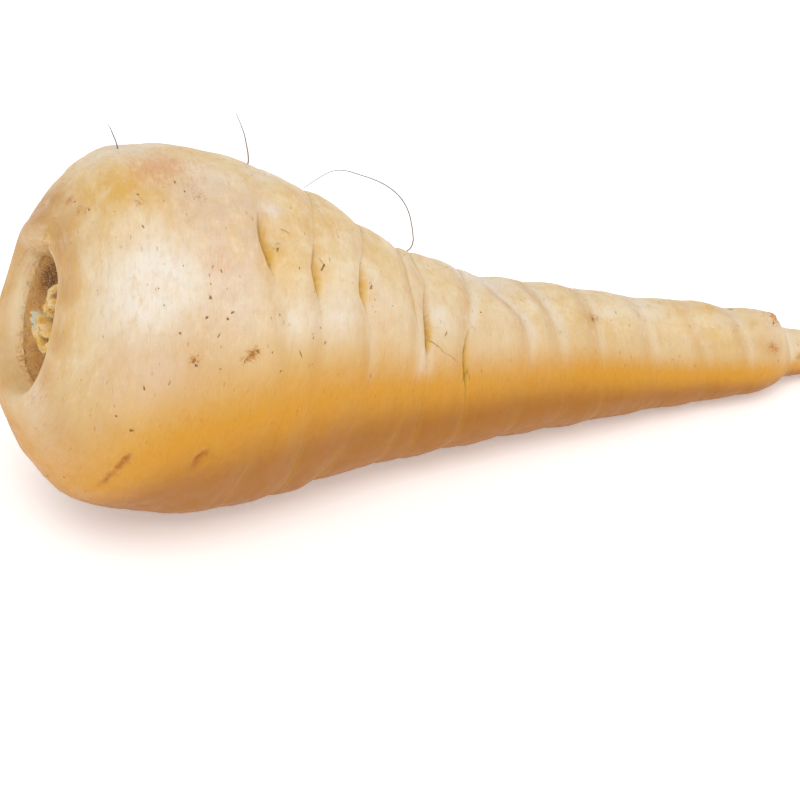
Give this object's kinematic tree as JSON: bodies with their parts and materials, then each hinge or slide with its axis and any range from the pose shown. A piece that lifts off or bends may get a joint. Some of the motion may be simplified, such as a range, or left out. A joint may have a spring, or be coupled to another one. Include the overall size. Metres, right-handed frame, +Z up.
{
  "type": "parsnip",
  "caption": "Whole parsnip lying on its side: broad sunken crown with trimmed leaf stalks, creased taper, knuckled tail and thin tip.",
  "frame": {"origin": "middle of the bounding box in X and Y, on the surface that the root lies on", "axes": "+X along the root from the crown to the tip, +Y to the side away from the crown's lean, +Z up from the surface"},
  "size_m": [0.218, 0.0758, 0.0787],
  "materials": {
    "root_skin": "cream to yellow-tan root skin with a soft waxy sheen, fine cross wrinkles and brown pores",
    "leaf_stalk": "dry, ragged pale yellow cut stalk, brown in its hollows"
  },
  "bodies": {
    "root": {"taproot": "root_skin", "leaf_stub": "leaf_stalk"}
  },
  "joints": []
}
